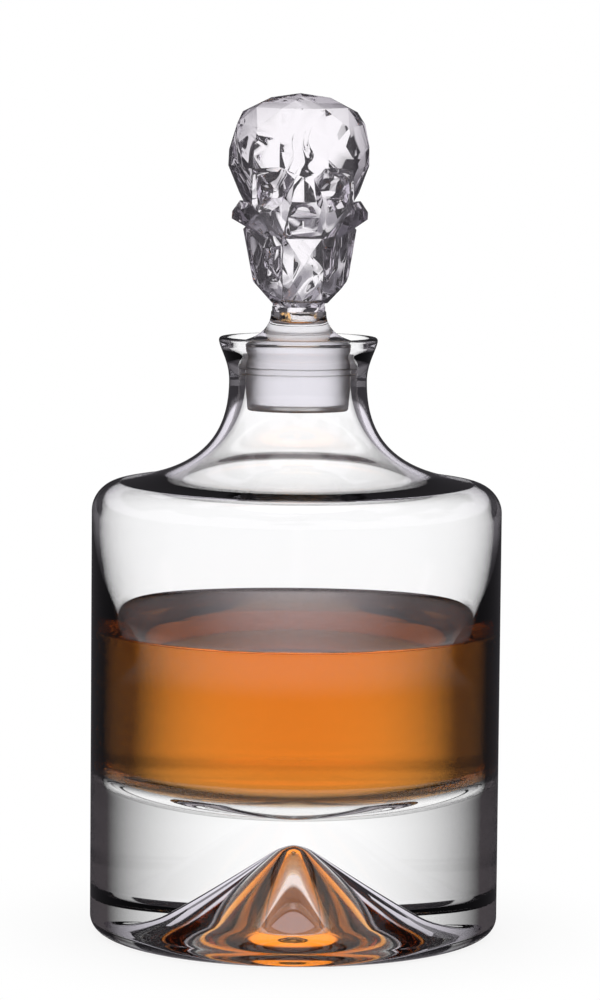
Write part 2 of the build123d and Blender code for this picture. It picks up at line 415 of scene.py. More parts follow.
def waviness_group() -> Tree:
    """Build the shader group for the faint waves and haze of hand-worked glass.

    Returns:
        The group, which puts out a height and a haze, both from 0 to 1.
    """
    tree = bpy.data.node_groups.new("worked_surface", "ShaderNodeTree")
    for name, usual in (("Wave Scale", 20.0), ("Haze Scale", 60.0)):
        socket = tree.interface.new_socket(name, in_out="INPUT", socket_type="NodeSocketFloat")
        socket.default_value = usual
    for name in ("Height", "Haze"):
        tree.interface.new_socket(name, in_out="OUTPUT", socket_type="NodeSocketFloat")
    graph = Graph(tree)
    given = graph.node("NodeGroupInput").outputs
    wave, haze = (
        graph.node("ShaderNodeTexNoise", {
            "Vector": graph.place(), "Scale": given[scale], "Detail": detail, "Roughness": rough,
        }).outputs[0]
        for scale, detail, rough in (("Wave Scale", 1.0, 0.4), ("Haze Scale", 4.0, 0.6))
    )
    graph.node("NodeGroupOutput", {0: wave, 1: graph.ramp(haze, 0.4, 0.8)})
    return tree


@dataclass(frozen=True)
class ClearFinish:
    """A clear material: glass, spirit, silicone or adhesive.

    The painted rim shade darkens the colour of faces that are seen at a slant. It is painted
    shade that stands in for the dark room, which thick glass mirrors many times. rim_span is
    how far a face is turned away where the painted shade sets in and where it is full, and
    base_span is the same below base_top. There only faces beyond side_radius take it, so that
    the cone and the dished floor stay clear. Above rim_top no face takes it.
    """

    name: str
    slot: Slot
    tint: Colour
    ior: float
    roughness: float = 0.0
    haze: float = 0.0
    wave_depth: float = 0.0
    wave_scale: float = 20.0
    transmission: float = 1.0
    painted_rim_shade: Colour | None = None
    rim_span: Point = (0.5, 0.66)
    rim_top: float = 0.106
    base_span: Point | None = None
    base_top: float = 0.054
    height_fade: float = 0.004
    side_radius: float = 0.0685
    side_fade: float = 0.002
    absorbed: Colour | None = None
    density: float = 0.0
    facet_scale: float = 0.0
    facet_tilt: float = 0.0
    facet_softness: float = 0.5

    def make(self, surface: Tree) -> bpy.types.Material:
        """Build the material.

        Args:
            surface: The shared group for waves and haze.

        Returns:
            The material.
        """
        material = bpy.data.materials.new(self.name)
        graph = emptied(material)
        inputs = {
            "Base Color": self.colour(graph),
            "Roughness": self.roughness,
            "IOR": self.ior,
            "Transmission Weight": self.transmission,
        }
        if self.wave_depth:
            inputs.update(self.worked_surface(graph, surface))
        shader = graph.node("ShaderNodeBsdfPrincipled", inputs)
        output = graph.node("ShaderNodeOutputMaterial", {"Surface": shader.outputs[0]})
        if self.absorbed is not None:
            volume = graph.node(
                "ShaderNodeVolumeAbsorption",
                {"Color": (*self.absorbed, 1.0), "Density": self.density},
            )
            graph.feed(output.inputs["Volume"], volume.outputs[0])
        return material

    def worked_surface(self, graph: Graph, surface: Tree) -> dict[str, Any]:
        """Make the waves, haze and small facets of a worked surface.

        Args:
            graph: The material's tree.
            surface: The shared group for waves and haze.

        Returns:
            The shader's roughness and normal.
        """
        worked = graph.node(
            "ShaderNodeGroup", {"Wave Scale": self.wave_scale}, node_tree=surface
        ).outputs
        normal = graph.bump(height=worked["Height"], distance=self.wave_depth)
        if self.facet_scale:
            normal = graph.bump(height=self.facets(graph), distance=1.0, normal=normal)
        hazy = self.roughness + self.haze
        return {
            "Roughness": graph.ramp(worked["Haze"], 0.0, 1.0, self.roughness, hazy),
            "Normal": normal,
        }

    def facets(self, graph: Graph) -> Socket:
        """Lay out small facets with soft seams, each with its own lean.

        Args:
            graph: The material's tree.

        Returns:
            Their height.
        """
        place = graph.place()
        cell = graph.node(
            "ShaderNodeTexVoronoi",
            {"Vector": place, "Scale": self.facet_scale, "Smoothness": self.facet_softness},
            feature="SMOOTH_F1",
        ).outputs
        lean = graph.vector("SUBTRACT", cell["Color"], (0.5, 0.5, 0.5))[0]
        offset = graph.vector("SUBTRACT", place, cell["Position"])[0]
        slope = graph.vector("DOT_PRODUCT", lean, offset)["Value"]
        return graph.math("MULTIPLY", slope, 2 * self.facet_tilt)

    def colour(self, graph: Graph) -> Any:
        """Work out the colour, with the painted rim shade.

        Args:
            graph: The material's tree.

        Returns:
            The colour's socket, or the plain colour of a finish with no painted rim shade.
        """
        if self.painted_rim_shade is None:
            return (*self.tint, 1.0)
        # Painted shade: slanted faces darken, in place of the dark room that glass mirrors.
        facing = graph.node("ShaderNodeLayerWeight", {"Blend": 0.5}).outputs["Facing"]
        place = graph.place()
        height = graph.part(place, "Z")
        level = graph.vector("MULTIPLY", place, (1.0, 1.0, 0.0))[0]
        radius = graph.vector("LENGTH", level)["Value"]
        base = (self.base_top - self.height_fade, self.base_top)
        outside = graph.ramp(radius, self.side_radius - self.side_fade, self.side_radius)
        above = graph.ramp(height, *base)
        below = graph.fall(height, self.rim_top - self.height_fade, self.rim_top)
        shade_zone = graph.math("MULTIPLY", graph.math("MAXIMUM", outside, above), below)
        span = [
            graph.ramp(height, *base, low, high)
            for low, high in zip(self.base_span or self.rim_span, self.rim_span)
        ]
        share = graph.math("MULTIPLY", graph.ramp(facing, *span), shade_zone)
        return graph.blend(share, self.tint, self.painted_rim_shade)


# Painted shade: below 106 mm the vessel's faces darken to near black where seen at a slant.
CRYSTAL = ClearFinish(
    "clear_crystal", Slot.CRYSTAL, tint=(0.99, 0.99, 0.993), ior=1.52,
    haze=0.004, wave_depth=0.00002, wave_scale=22.0,
    painted_rim_shade=(0.004, 0.003, 0.0035), base_span=(-0.1, 0.62),
)
# Painted shade: the skull's facets turn lilac-grey the further they face away, shading its form.
PRESSED_CRYSTAL = ClearFinish(
    "pressed_crystal", Slot.CRYSTAL, tint=(0.94, 0.91, 0.95), ior=1.52,
    haze=0.01, wave_depth=0.00006, wave_scale=60.0, transmission=0.96,
    painted_rim_shade=(0.34, 0.31, 0.36), rim_span=(0.1, 0.85), rim_top=1.0,
    facet_scale=45.0, facet_tilt=0.2,
)
# Painted shade: the spirit darkens to near black at its sides, where faces are seen at a slant.
AMBER_SPIRIT = ClearFinish(
    "amber_spirit", Slot.SPIRIT, tint=(1.0, 1.0, 1.0), ior=1.36,
    painted_rim_shade=(0.02, 0.016, 0.018), rim_span=(0.02, 0.235), rim_top=1.0,
    absorbed=(0.944, 0.628, 0.017), density=36.0,
)
FROSTED_SILICONE = ClearFinish(
    "frosted_silicone", Slot.SILICONE, tint=(0.97, 0.96, 0.985), ior=1.41,
    roughness=0.32, haze=0.08, wave_depth=0.0001, wave_scale=300.0,
)
CURED_ADHESIVE = ClearFinish(
    "cured_adhesive", Slot.ADHESIVE, tint=(0.97, 0.97, 0.96), ior=1.47,
    roughness=0.02, haze=0.05, wave_depth=0.00004, wave_scale=500.0,
)


@dataclass
class Vessel(TurnedPiece):
    """Glass vessel with the cone pressed into its base.

    The fall shares are how steeply the shoulder and the ceiling fall outwards. The other shares
    place the control points of curves. Steps are the runs along a curve or a line.
    """

    piece_name = "vessel_glass"
    segments = 224
    body_radius: float = 69.0
    foot_edge_radius: float = 5.2
    base_thickness: float = 43.2
    cavity_height: float = 107.5
    upper_wall: float = 2.2
    lower_wall: float = 11.5
    floor_dish_width: float = 45.0
    floor_dish_height: float = 15.0
    cavity_corner_radius: float = 8.0
    cone_height: float = 32.8
    cone_radius: float = 32.4
    cone_tip_radius: float = 4.6
    cone_foot_radius: float = 7.0
    shoulder_glass: float = 1.5
    shoulder_corner_radius: float = 8.5
    sweep_height: float = 34.3
    throat_radius: float = 19.85
    throat_land: float = 1.0
    neck_wall: float = 3.3
    lip_height: float = 14.7
    lip_radius: float = 26.85
    lip_wall: float = 3.2
    lip_edge_radius: float = 1.3
    lip_lean: float = 0.2
    shoulder_fall_share: float = 0.136
    ceiling_fall_share: float = 0.058
    sweep_side_shares: Point = (0.70, 0.60)
    bore_sweep_shares: Point = (0.838, 0.35)
    lip_flare_shares: Point = (0.42, 0.31)
    bore_flare_shares: Point = (0.70, 0.33)
    cavity_side_share: float = 0.5
    cone_turn_steps: int = 8
    cone_flank_steps: int = 12
    foot_edge_steps: int = 14
    drum_steps: int = 24
    shoulder_corner_steps: int = 16
    sweep_steps: int = 44
    lip_flare_steps: int = 22
    lip_edge_steps: int = 8
    bore_flare_steps: int = 20
    cavity_corner_steps: int = 12
    cavity_side_steps: int = 36
    floor_dish_steps: int = 28

    @property
    def ceiling_level(self) -> float:
        """Height of the cavity's top."""
        return self.base_thickness + self.cavity_height

    @property
    def shoulder_level(self) -> float:
        """Height of the shoulder."""
        return self.ceiling_level + self.shoulder_glass

    @property
    def waist_level(self) -> float:
        """Height of the narrowest part of the neck."""
        return self.shoulder_level + self.sweep_height

    @property
    def lip_level(self) -> float:
        """Height of the lip."""
        return self.waist_level + self.lip_height

    @property
    def cavity_top_radius(self) -> float:
        """Radius of the cavity below the shoulder."""
        return self.body_radius - self.upper_wall

    def base(self, section: Section) -> None:
        """Add the cone, its foot and the ring that the vessel stands on.

        Args:
            section: The section that gets them.
        """
        slope = self.cone_height / self.cone_radius
        virtual_height = self.cone_height + slope * self.cone_tip_radius / 2
        tip_end = (self.cone_tip_radius, virtual_height - slope * self.cone_tip_radius)
        foot_corner = (virtual_height / slope, 0.0)
        flank_end = toward(foot_corner, tip_end, self.cone_foot_radius / self.cone_radius)
        section.add((0.0, self.cone_height))
        section.turn((self.cone_tip_radius / 2, self.cone_height), tip_end, self.cone_turn_steps)
        section.line(flank_end, self.cone_flank_steps)
        ring_start = (foot_corner[0] + self.cone_foot_radius, 0.0)
        section.turn(foot_corner, ring_start, self.cone_turn_steps)
        section.add((self.body_radius - self.foot_edge_radius, 0.0))
        drum_foot = (self.body_radius, self.foot_edge_radius)
        section.turn((self.body_radius, 0.0), drum_foot, self.foot_edge_steps)

    def outside(self, section: Section) -> None:
        """Add the drum, shoulder, waist and lip.

        Args:
            section: The section that gets them.
        """
        radius = self.body_radius
        fall = self.shoulder_fall_share
        corner = (radius, self.shoulder_level - fall * self.shoulder_corner_radius)
        drum_top = (radius, corner[1] - self.shoulder_corner_radius)
        start = (radius - self.shoulder_corner_radius, self.shoulder_level)
        waist = self.throat_radius + self.neck_wall
        inward = self.sweep_side_shares[0] * (start[0] - waist)
        upward = self.sweep_side_shares[1] * self.sweep_height
        section.line(drum_top, self.drum_steps)
        section.turn(corner, start, self.shoulder_corner_steps)
        section.curve(
            (start[0] - inward, self.shoulder_level + fall * inward),
            (waist, self.waist_level - upward),
            (waist, self.waist_level),
            self.sweep_steps,
        )
        low_share, high_share = self.lip_flare_shares
        rim_corner = (self.lip_radius, self.lip_level)
        rim_start = (self.lip_radius - self.lip_lean, self.lip_level - self.lip_edge_radius)
        lean_share = high_share * self.lip_height / self.lip_edge_radius
        section.curve(
            (waist, self.waist_level + low_share * self.lip_height),
            toward(rim_corner, rim_start, lean_share),
            rim_start,
            self.lip_flare_steps,
        )
        rim_end = (self.lip_radius - self.lip_edge_radius, self.lip_level)
        section.turn(rim_corner, rim_end, self.lip_edge_steps)

    def mouth(self, section: Section) -> None:
        """Add the flare down to the throat, its land and the sweep under the shoulder.

        Args:
            section: The section that gets them.
        """
        bore = self.lip_radius - self.lip_wall
        start = (bore, self.lip_level - self.lip_edge_radius)
        land_top = (self.throat_radius, self.waist_level + self.throat_land)
        flare = start[1] - land_top[1]
        low_share, high_share = self.bore_flare_shares
        section.add((bore + self.lip_edge_radius, self.lip_level))
        section.turn((bore, self.lip_level), start, self.lip_edge_steps)
        section.curve(
            (bore, start[1] - high_share * flare),
            (self.throat_radius, land_top[1] + low_share * flare),
            land_top,
            self.bore_flare_steps,
        )
        section.add((self.throat_radius, self.waist_level))
        end = (self.cavity_top_radius - self.cavity_corner_radius, self.ceiling_level)
        inward = self.bore_sweep_shares[0] * (end[0] - self.throat_radius)
        upward = self.bore_sweep_shares[1] * (self.waist_level - self.ceiling_level)
        section.curve(
            (self.throat_radius, self.waist_level - upward),
            (end[0] - inward, self.ceiling_level + self.ceiling_fall_share * inward),
            end,
            self.sweep_steps,
        )

    def cavity(self, section: Section, shrink: float = 0.0) -> None:
        """Add the cavity's corner, side and floor.

        Args:
            section: The section that gets them.
            shrink: How far they lie further inwards, and the floor higher.
        """
        top = self.cavity_top_radius - shrink
        low = self.body_radius - self.lower_wall - shrink
        corner = (top, self.ceiling_level - self.ceiling_fall_share * self.cavity_corner_radius)
        side_top = (top, corner[1] - self.cavity_corner_radius)
        floor = self.base_thickness + shrink
        side_low = (low, floor + self.floor_dish_height)
        bend = self.cavity_side_share * (side_top[1] - side_low[1])
        section.turn(corner, side_top, self.cavity_corner_steps)
        section.curve(
            (top, side_top[1] - bend), (low, side_low[1] + bend), side_low, self.cavity_side_steps
        )
        section.turn((low, floor), (low - self.floor_dish_width, floor), self.floor_dish_steps)
        section.add((0.0, floor))

    def section(self) -> Section:
        """Draw the half section, from the cone's tip round to the middle of the cavity's floor.

        Returns:
            The section.
        """
        section = Section()
        self.base(section)
        self.outside(section)
        self.mouth(section)
        self.cavity(section)
        return section


@dataclass
class Spirit(TurnedPiece):
    """The spirit in the cavity, with its surface drawn up at the glass."""

    piece_name = "amber_spirit"
    segments = 192
    vessel: Vessel
    depth: float = 58.6
    overlap: float = 0.06
    meniscus_height: float = 1.3
    meniscus_reach: float = 1.9
    meniscus_steps: int = 15
    first_step: float = 0.0625
    rim_clearance: float = 0.2

    def section(self) -> Section:
        """Draw the half section, which reaches just into the glass.

        Returns:
            The section.
        """
        vessel = self.vessel
        level = vessel.base_thickness + self.depth
        ceiling_end = vessel.cavity_top_radius - vessel.cavity_corner_radius + self.overlap
        wall = Section([(ceiling_end, vessel.ceiling_level)])
        vessel.cavity(wall, -self.overlap)
        climb = level + self.meniscus_height
        below = [point for point in wall.points if point[1] < climb - self.rim_clearance]
        last = wall.points[len(wall.points) - len(below) - 1]
        share = (climb - below[0][1]) / (last[1] - below[0][1])
        rim = toward(below[0], last, share)
        reaches = [self.first_step * step * step for step in range(1, self.meniscus_steps + 1)]
        surface = [
            (rim[0] - reach, level + self.meniscus_height * exp(-reach / self.meniscus_reach))
            for reach in reversed(reaches)
        ]
        return Section([(0.0, level), *surface, rim, *below])


@dataclass
class Sleeve(TurnedPiece):
    """Silicone sleeve that seals the throat."""

    piece_name = "frosted_sleeve"
    vessel: Vessel
    length: float = 22.6
    relief: float = 2.3
    wall: float = 2.2
    floor: float = 1.8
    edge_radius: float = 1.0
    top_edge_radius: float = 0.3
    taper: float = 0.7
    taper_height: float = 7.8
    fin_gap: float = 0.1
    fin_height: float = 0.5
    fin_tip_share: float = 0.8
    fin_rises: Point = (2.9, 5.0)
    high_fin_extra: float = 0.3
    collar_drop: float = 1.9
    edge_steps: int = 8
    top_edge_steps: int = 4
    fin_steps: int = 3

    @property
    def top(self) -> float:
        """Height of the sleeve's top."""
        return self.vessel.lip_level - self.collar_drop

    @property
    def bottom(self) -> float:
        """Height of the sleeve's lower end."""
        return self.top - self.length

    @property
    def radius(self) -> float:
        """Outer radius of the sleeve."""
        return self.vessel.throat_radius - self.relief

    @property
    def bore(self) -> float:
        """Inner radius of the sleeve."""
        return self.radius - self.wall

    def section(self) -> Section:
        """Draw the half section, with the taper, the fins and the open top.

        Returns:
            The section.
        """
        foot = (self.radius - self.taper, self.bottom)
        taper_end = (self.radius, self.bottom + self.taper_height)
        edge_end = toward(foot, taper_end, self.edge_radius / self.taper_height)
        section = Section([(0.0, self.bottom), (foot[0] - self.edge_radius, self.bottom)])
        section.turn(foot, edge_end, self.edge_steps)
        section.add(taper_end)
        low_tip = self.vessel.throat_radius - self.fin_gap
        for rise, tip in zip(self.fin_rises, (low_tip, low_tip + self.high_fin_extra)):
            self.fin(section, self.vessel.waist_level + rise, tip)
        section.add((self.radius, self.top - self.top_edge_radius))
        top_edge = (self.radius - self.top_edge_radius, self.top)
        section.turn((self.radius, self.top), top_edge, self.top_edge_steps)
        floor = self.bottom + self.floor
        section.add((self.bore, self.top), (self.bore, floor), (0.0, floor))
        return section

    def fin(self, section: Section, level: float, tip: float) -> None:
        """Add one thin fin that thins out to a round tip.

        Args:
            section: The section that gets it.
            level: Height of its middle.
            tip: Radius of its tip.
        """
        half = self.fin_height / 2
        tip_half = self.fin_tip_share * half
        section.add((self.radius, level - half), (tip - half, level - tip_half))
        section.turn((tip, level - tip_half), (tip, level), self.fin_steps)
        section.turn((tip, level + tip_half), (tip - half, level + tip_half), self.fin_steps)
        section.add((self.radius, level + half))


@dataclass
class Collar(TurnedPiece):
    """Glass collar with its core, shank and socket."""

    piece_name = "collar_glass"
    sleeve: Sleeve
    overhang: float = 0.1
    edge: float = 0.8
    disc_edge_width: float = 0.15
    disc_edge_height: float = 0.2
    seat_gap: float = 0.02
    height: float = 10.5
    shank_radius: float = 9.25
    shank_edge_radius: float = 0.25
    turn_clearance: float = 0.08
    core_end_clearance: float = 0.3
    core_edge: float = 0.5
    socket_depth: float = 3.6
    tenon_radius: float = 6.4
    bond_thickness: float = 0.12
    trumpet_share: float = 0.55
    core_edge_steps: int = 5
    disc_edge_steps: int = 3
    trumpet_steps: int = 26
    shank_edge_steps: int = 4

    @property
    def top(self) -> float:
        """Height of the collar's top."""
        return self.sleeve.top + self.height

    def section(self) -> Section:
        """Draw the half section of the core, disc, shank and socket.

        Returns:
            The section.
        """
        seat = self.sleeve.top
        core = self.sleeve.bore - self.turn_clearance
        bottom = self.sleeve.bottom + self.sleeve.floor + self.core_end_clearance
        disc = self.sleeve.radius + self.overhang
        under = seat + self.seat_gap
        section = Section([(0.0, bottom), (core - self.core_edge, bottom)])
        section.turn((core, bottom), (core, bottom + self.core_edge), self.core_edge_steps)
        section.add((core, under), (disc - self.disc_edge_width, under))
        section.turn((disc, seat), (disc, seat + self.disc_edge_height), self.disc_edge_steps)
        self.shank(section, (disc, seat + self.edge))
        socket = self.tenon_radius + self.bond_thickness
        socket_floor = self.top - self.socket_depth
        section.add((socket, self.top), (socket, socket_floor), (0.0, socket_floor))
        return section

    def shank(self, section: Section, disc_top: Point) -> None:
        """Add the trumpet from the disc to the shank, and the shank's edge.

        Args:
            section: The section that gets them.
            disc_top: Where the trumpet starts.
        """
        height = self.height - self.edge
        section.add(disc_top)
        section.curve(
            toward(disc_top, (self.shank_radius, disc_top[1] + height / 4), self.trumpet_share),
            (self.shank_radius, self.top - self.trumpet_share * height),
            (self.shank_radius, self.top - self.shank_edge_radius),
            self.trumpet_steps,
        )
        edge_end = (self.shank_radius - self.shank_edge_radius, self.top)
        section.turn((self.shank_radius, self.top), edge_end, self.shank_edge_steps)


@dataclass
class Bond(TurnedPiece):
    """Thin cup of adhesive in the collar's socket."""

    piece_name = "socket_bond"
    segments = 96
    collar: Collar
    gap: float = 0.02

    def section(self) -> Section:
        """Draw the half section of the cup.

        Returns:
            The section.
        """
        collar = self.collar
        top = collar.top
        low = top - collar.socket_depth + self.gap
        outer = collar.tenon_radius + collar.bond_thickness - self.gap
        inner = collar.tenon_radius + self.gap
        floor = low + collar.bond_thickness - 2 * self.gap
        cup = [(0.0, low), (outer, low), (outer, top), (inner, top), (inner, floor), (0.0, floor)]
        return Section(cup)


@dataclass
class Skull:
    """Faceted skull, pressed in glass, with softened edges. Its angles are in degrees."""

    edge_width: float = 0.34
    edge_angle: float = 9.0
    edge_segments: int = 2
    flat_angle: float = 0.4

    def build(self, node: Thing, glass: bpy.types.Material) -> Thing:
        """Copy the CAD solid and soften its edges.

        Args:
            node: The CAD node.
            glass: Its material.

        Returns:
            The skull.
        """
        mesh = node.data.copy()
        work = bmesh.new()
        work.from_mesh(mesh)
        bmesh.ops.remove_doubles(work, verts=work.verts, dist=MERGE_DISTANCE)
        bmesh.ops.dissolve_limit(
            work,
            angle_limit=radians(self.flat_angle),
            verts=work.verts,
            edges=work.edges,
            use_dissolve_boundaries=False,
        )
        work.to_mesh(mesh)
        work.free()
        mesh.materials.clear()
        mesh.materials.append(glass)
        for polygon in mesh.polygons:
            polygon.material_index = 0
            polygon.use_smooth = True
        blank = placed("skull_blank", mesh)
        bevel = blank.modifiers.new("soft_edges", "BEVEL")
        bevel.width = self.edge_width * MILLIMETRE
        bevel.segments = self.edge_segments
        bevel.limit_method = "ANGLE"
        bevel.angle_limit = radians(self.edge_angle)
        bevel.use_clamp_overlap = True
        bevel.harden_normals = True
        result = evaluated_mesh(blank, "skull_glass")
        bpy.data.objects.remove(blank)
        return placed("skull_glass", result)


# Walls and lights of the studio.
WHITE = (1.0, 1.0, 1.0)
MATT_WHITE = (0.93, 0.93, 0.93, 1.0)
BACKLIGHT = (1.15, 1.15, 1.15)
SOFTBOX = (1.35, 1.35, 1.37)
DARK_ROOM = (0.035, 0.032, 0.037)
DIM_ROOM = (0.05, 0.047, 0.053)
HIGH_GREY = (0.27, 0.26, 0.29)
GREY_WALL = (0.17, 0.16, 0.175)
MAUVE_WALL = (0.28, 0.255, 0.265)
MAUVE_GLOW = (0.85, 0.78, 0.82)
NEAR_GREY = (0.07, 0.065, 0.07)
LILAC_PANEL = (0.95, 0.91, 1.0)
AMBER_GLOW = (1.8, 1.05, 0.36)

# Counts of a ray's crossings or mirrorings, each halfway between two whole numbers.
ONCE = 0.5
THROUGH_VESSEL = 2.5
THROUGH_SPIRIT = 4.5
THROUGH_SLEEVE = 8.5
MIRRORED_OFTEN = 2.5

DIAGONAL = 0.7071
FAR_AWAY = 1000.0


@dataclass(frozen=True)
class Rays:
    """Masks that sort the rays which reach the studio.

    camera is what the camera sees. shiny is light by way of glass. outer is mirrored outside
    glass, and inner is mirrored inside it. wide has crossed the vessel, deep has crossed the spirit
    too, and sealed has crossed the sleeve.
    """

    camera: Socket
    shiny: Socket
    outer: Socket
    inner: Socket
    wide: Socket
    deep: Socket
    sealed: Socket

    @classmethod
    def sort(cls, graph: Graph) -> "Rays":
        """Make the masks.

        Args:
            graph: The tree that gets the nodes.

        Returns:
            The masks.
        """
        path = graph.node("ShaderNodeLightPath").outputs
        crossings = path["Transmission Depth"]
        mirrored = graph.math("GREATER_THAN", path["Glossy Depth"], ONCE)
        crossed = graph.math("GREATER_THAN", crossings, ONCE)
        sharp = graph.math("LESS_THAN", path["Diffuse Depth"], ONCE)
        through_sleeve = graph.math("GREATER_THAN", crossings, THROUGH_SLEEVE)
        seldom_mirrored = graph.math("LESS_THAN", path["Glossy Depth"], MIRRORED_OFTEN)
        return cls(
            camera=path["Is Camera Ray"],
            shiny=graph.math("MULTIPLY", graph.math("MAXIMUM", mirrored, crossed), sharp),
            outer=graph.math("GREATER_THAN", mirrored, crossed),
            inner=graph.math("MULTIPLY", mirrored, crossed),
            wide=graph.math("GREATER_THAN", crossings, THROUGH_VESSEL),
            deep=graph.math("GREATER_THAN", crossings, THROUGH_SPIRIT),
            sealed=graph.math("MULTIPLY", through_sleeve, seldom_mirrored),
        )

    def shown(self, graph: Graph, open_air: Any, inside: Any) -> Socket:
        """Choose what each kind of ray sees.

        Args:
            graph: The tree that gets the nodes.
            open_air: What light sees that glass passed on or mirrored outside it.
            inside: What light sees that was mirrored inside glass.

        Returns:
            The colour, which is plain white where no glass is in the way.
        """
        mirrored = graph.blend(self.inner, open_air, inside)
        through = graph.blend(self.sealed, mirrored, SOFTBOX)
        return graph.blend(self.shiny, WHITE, through)


@dataclass
class Studio:
    """Floor, light and camera.

    Each Point is where a change starts and ends. A rise or a band is measured by the height of a
    direction, from 0 at the horizon to 1 overhead, a distance in metres from the vessel's axis, and
    an aside in metres from the middle of a white sweep.
    """

    floor_half: float = 6.0
    sweep_reach: float = 1.75
    sweep_half: float = 0.46
    sweep_blur: float = 0.01
    lit_half: float = 0.3
    slant_half: float = 0.17
    slant_blur: float = 0.03
    edge_light: float = 0.6
    overhead_rise: Point = (0.94, 0.97)
    back_rise: Point = (0.12, 0.5)
    room_rise: Point = (0.3, 0.8)
    horizon_rise: Point = (0.26, 0.32)
    horizon_aside: Point = (0.0, 0.16)
    flame_rise: Point = (0.8, 0.87)
    panel_scale: float = 2.6
    panel_tones: Point = (0.35, 0.7)
    panel_rise: Point = (0.1, 0.25)
    dark_band_height: float = 0.76
    dark_band: Point = (0.05, 0.1)
    lit_band_height: float = 0.27
    lit_band: Point = (0.1, 0.15)
    far_distance: Point = (0.35, 1.0)
    far_aside: Point = (0.13, 0.2)
    near_distance: Point = (0.3, 0.45)
    ring_distance: Point = (0.14, 0.18)
    glow_distance: Point = (0.06, 0.09)
    shadow_distance: Point = (0.06, 0.13)
    shadow_light: float = 0.85
    camera_place: tuple[float, float, float] = (0.00104, -1.4106, 0.2846)
    camera_fall: float = 0.0978
    camera_roll: float = 0.0093
    camera_reach: float = 50.0
    lens: float = 151.52
    sensor: float = 36.0

    def sweep(self) -> Tree:
        """Build the shader group for the white sweeps that leave the object eight ways.

        Returns:
            The group, which takes a place and puts out how white it is and how far it lies aside.
        """
        tree = bpy.data.node_groups.new("white_sweeps", "ShaderNodeTree")
        tree.interface.new_socket("Vector", in_out="INPUT", socket_type="NodeSocketVector")
        for name in ("White", "Aside"):
            tree.interface.new_socket(name, in_out="OUTPUT", socket_type="NodeSocketFloat")
        graph = Graph(tree)
        place = graph.node("NodeGroupInput").outputs["Vector"]
        across, along = (graph.math("ABSOLUTE", graph.part(place, axis)) for axis in "XY")
        squares = [graph.math("MULTIPLY", side, side) for side in (across, along)]
        distance = graph.math("SQRT", graph.math("ADD", *squares))
        reach = graph.math("MAXIMUM", graph.math("DIVIDE", distance, self.sweep_reach), 1.0)
        aside = graph.math("DIVIDE", graph.math("MINIMUM", across, along), reach)
        gap = graph.math("ABSOLUTE", graph.math("SUBTRACT", across, along))
        slant = graph.math("DIVIDE", graph.math("MULTIPLY", gap, DIAGONAL), reach)
        lit = graph.ramp(aside, self.lit_half, self.sweep_half, 1.0, self.edge_light)
        inside = graph.fall(
            aside, self.sweep_half - self.sweep_blur, self.sweep_half + self.sweep_blur
        )
        slanting = graph.fall(
            slant, self.slant_half - self.slant_blur, self.slant_half + self.slant_blur
        )
        white = graph.math("MAXIMUM", graph.math("MULTIPLY", lit, inside), slanting)
        graph.node("NodeGroupOutput", {0: white, 1: aside})
        return tree

    def light(self, sweep: Tree) -> None:
        """Build the world: white to the camera, and a dark room with white sweeps to glass.

        Args:
            sweep: The shader group of the white sweeps.
        """
        world = bpy.data.worlds.new("studio")
        bpy.context.scene.world = world
        graph = emptied(world)
        rays = Rays.sort(graph)
        direction = graph.node("ShaderNodeTexCoord").outputs["Generated"]
        height = graph.part(direction, "Z")
        far = graph.node(
            "ShaderNodeVectorMath", {0: direction, "Scale": FAR_AWAY}, operation="SCALE"
        ).outputs[0]
        spread = graph.node("ShaderNodeGroup", {"Vector": far}, node_tree=sweep).outputs
        overhead = graph.ramp(height, *self.overhead_rise)

        back = graph.blend(graph.ramp(height, *self.back_rise), BACKLIGHT, HIGH_GREY)
        room = graph.blend(graph.ramp(height, *self.room_rise), DARK_ROOM, HIGH_GREY)
        clear = graph.blend(spread["White"], room, back)
        open_air = graph.blend(overhead, graph.blend(rays.outer, clear, DIM_ROOM), SOFTBOX)

        glow = graph.blend(
            graph.ramp(spread["Aside"], *self.horizon_aside), MAUVE_GLOW, MAUVE_WALL
        )
        horizon = graph.blend(graph.ramp(height, *self.horizon_rise), glow, DARK_ROOM)
        flame = graph.blend(graph.ramp(height, *self.flame_rise), DARK_ROOM, AMBER_GLOW)
        crossed = graph.blend(rays.deep, graph.blend(overhead, horizon, SOFTBOX), flame)
        panels = self.panels(graph, direction, height)
        inside = graph.blend(rays.wide, graph.blend(overhead, panels, SOFTBOX), crossed)
        shown = rays.shown(graph, open_air, inside)
        background = graph.node("ShaderNodeBackground", {"Color": shown, "Strength": 1.0})
        graph.node("ShaderNodeOutputWorld", {"Surface": background.outputs[0]})

    def panels(self, graph: Graph, direction: Socket, height: Socket) -> Socket:
        """Make the lilac panels that light mirrored inside glass sees.

        Args:
            graph: The world's tree.
            direction: Where the light comes from.
            height: Height of that direction.

        Returns:
            Their colour.
        """
        cells = graph.node(
            "ShaderNodeTexVoronoi", {"Vector": direction, "Scale": self.panel_scale}
        ).outputs["Color"]
        tone = graph.ramp(graph.part(cells, "X"), *self.panel_tones)
        above_dark, above_lit = (
            graph.math("ABSOLUTE", graph.math("SUBTRACT", height, middle))
            for middle in (self.dark_band_height, self.lit_band_height)
        )
        toned = graph.math("MULTIPLY", tone, graph.ramp(above_dark, *self.dark_band))
        high = graph.math("MULTIPLY", toned, graph.ramp(height, *self.panel_rise))
        low = graph.fall(above_lit, *self.lit_band)
        return graph.blend(graph.math("MAXIMUM", high, low), DARK_ROOM, LILAC_PANEL)

